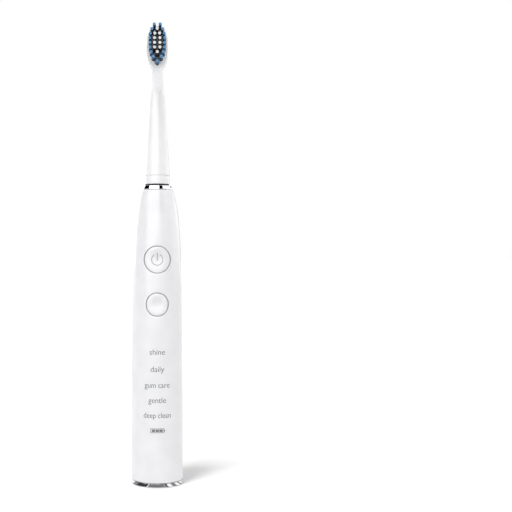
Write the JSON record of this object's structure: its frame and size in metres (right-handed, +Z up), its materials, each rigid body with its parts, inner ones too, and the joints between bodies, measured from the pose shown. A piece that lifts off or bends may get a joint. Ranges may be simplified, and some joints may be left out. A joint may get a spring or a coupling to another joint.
{
  "type": "electric toothbrush",
  "caption": "Slim upright sonic toothbrush that stands on its chrome foot, with two press buttons and a pull-off brush head.",
  "frame": {"origin": "centre of the standing face, the flat underside of the chrome foot ring", "axes": "+Z up along the handle and the drive shaft; the buttons and the bristles face -Y; +X is to the right of someone who looks at the buttons"},
  "size_m": [0.0274, 0.0274, 0.2457],
  "materials": {
    "white_plastic": "satin gloss moulded",
    "soft_white_rubber": "matt moulded",
    "chrome": "mirror plated",
    "grey_rubber": "matt",
    "grey_plastic": "moulded",
    "black_plastic": "moulded",
    "board_green": "solder mask",
    "copper": "enamelled copper winding",
    "nickel": "plated strip",
    "steel": "turned",
    "magnet": "plated magnet",
    "brass": "sintered",
    "battery_wrap": "shrink wrapped",
    "light_lens": "clear yellowish resin",
    "foam": "closed-cell foam",
    "red_wire": "insulated",
    "blue_bristle": "nylon filament",
    "white_bristle": "nylon filament"
  },
  "bodies": {
    "handle": {"handle_shell": "white_plastic", "collar_ring": "chrome", "foot_ring": "chrome", "bottom_cap": "white_plastic", "cap_seal": "grey_rubber", "charge_bobbin": "black_plastic", "charge_winding": "copper", "charge_lead_left": "black_plastic", "charge_lead_right": "red_wire", "chassis": "grey_plastic", "battery": "battery_wrap", "battery_tab_top": "nickel", "battery_tab_bottom": "nickel", "battery_pad": "foam", "circuit_board": "board_green", "microcontroller": "black_plastic", "board_screw_upper": "steel", "board_screw_lower": "steel", "mode_led_1": "light_lens", "mode_led_2": "light_lens", "mode_led_3": "light_lens", "mode_led_4": "light_lens", "mode_led_5": "light_lens", "charge_led": "light_lens", "light_box": "white_plastic", "button_gasket": "grey_rubber", "power_switch_body": "black_plastic", "mode_switch_body": "black_plastic", "motor_case": "steel", "motor_rear_cap": "black_plastic", "motor_front_cap": "steel", "rear_bearing": "brass", "front_bearing": "brass", "stator_winding": "copper", "return_spring": "steel", "lower_damper": "grey_rubber", "upper_damper": "grey_rubber", "motor_lead_left": "black_plastic", "motor_lead_right": "red_wire", "nose_seal": "grey_rubber"},
    "drive": {"drive_shaft": "steel", "rotor_magnet": "magnet"},
    "brush_head": {"neck_shell": "white_plastic", "head_ring": "white_plastic", "shaft_sleeve": "grey_plastic", "shaft_clip": "steel", "tuft_plate": "white_plastic", "outer_tufts": "blue_bristle", "inner_tufts": "white_bristle"},
    "power_button": {"power_button": "soft_white_rubber"},
    "mode_button": {"mode_button": "soft_white_rubber"},
    "power_switch_stem": {"power_switch_stem": "grey_plastic"},
    "mode_switch_stem": {"mode_switch_stem": "grey_plastic"}
  },
  "joints": [
    {"name": "drive_swing", "type": "hinge", "parent": "handle", "child": "drive", "pos_m": [0, 0, 0.127], "axis": [0, 0, 1], "range_deg": [-5, 5], "stiffness_Nm_per_rad": 0.05},
    {"name": "brush_head_lift", "type": "slide", "parent": "drive", "child": "brush_head", "axis": [0, 0, 1], "range_m": [0, 0.032]},
    {"name": "power_press", "type": "slide", "parent": "handle", "child": "power_button", "axis": [0, 1, 0], "range_m": [0, 0.0006], "stiffness_N_per_m": 700},
    {"name": "mode_press", "type": "slide", "parent": "handle", "child": "mode_button", "axis": [0, 1, 0], "range_m": [0, 0.0006], "stiffness_N_per_m": 700},
    {"name": "power_stem_press", "type": "slide", "parent": "handle", "child": "power_switch_stem", "axis": [0, 1, 0], "range_m": [0, 0.0006]},
    {"name": "mode_stem_press", "type": "slide", "parent": "handle", "child": "mode_switch_stem", "axis": [0, 1, 0], "range_m": [0, 0.0006]}
  ],
  "couplings": [
    {"joint": "power_stem_press", "follows": "power_press", "ratio": 1},
    {"joint": "mode_stem_press", "follows": "mode_press", "ratio": 1}
  ]
}
